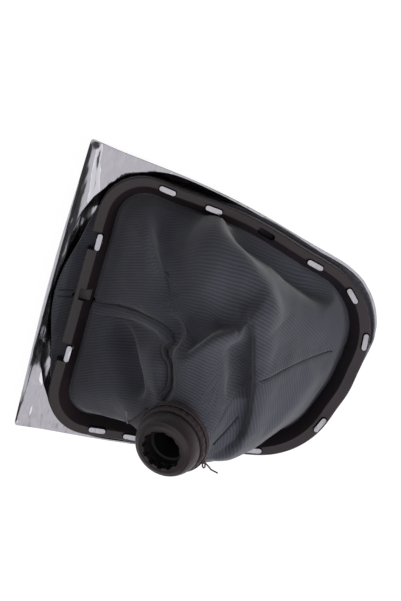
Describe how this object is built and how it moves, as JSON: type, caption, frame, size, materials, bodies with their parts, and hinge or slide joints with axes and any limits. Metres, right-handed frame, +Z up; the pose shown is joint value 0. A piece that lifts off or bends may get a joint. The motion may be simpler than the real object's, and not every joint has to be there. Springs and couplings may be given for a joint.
{
  "type": "gear lever gaiter",
  "caption": "Gear lever gaiter in a skewed chrome surround, lying face down and turned inside out, with its clip ring, tied neck band and splined collar.",
  "frame": {"origin": "middle of the base, on the surface that the surround's show face lies on", "axes": "+X from the wide side of the surround to its narrow end, +Z up out of the back of the surround toward the collar"},
  "size_m": [0.1658, 0.152, 0.0787],
  "materials": {
    "plated": "bright chrome plating on moulded plastic",
    "ring_plastic": "fine moulded texture, brownish black",
    "backing": "fine ribbed woven backing of leatherette",
    "leatherette": "black grained leatherette",
    "collar_plastic": "satin black moulding",
    "thread": "twisted black thread"
  },
  "bodies": {
    "root": {"surround": "plated", "retaining_ring": "ring_plastic", "gaiter_left_panel": "backing", "gaiter_right_panel": "backing", "collar": "collar_plastic", "neck_band": "leatherette", "tie_thread": "thread"}
  },
  "joints": []
}
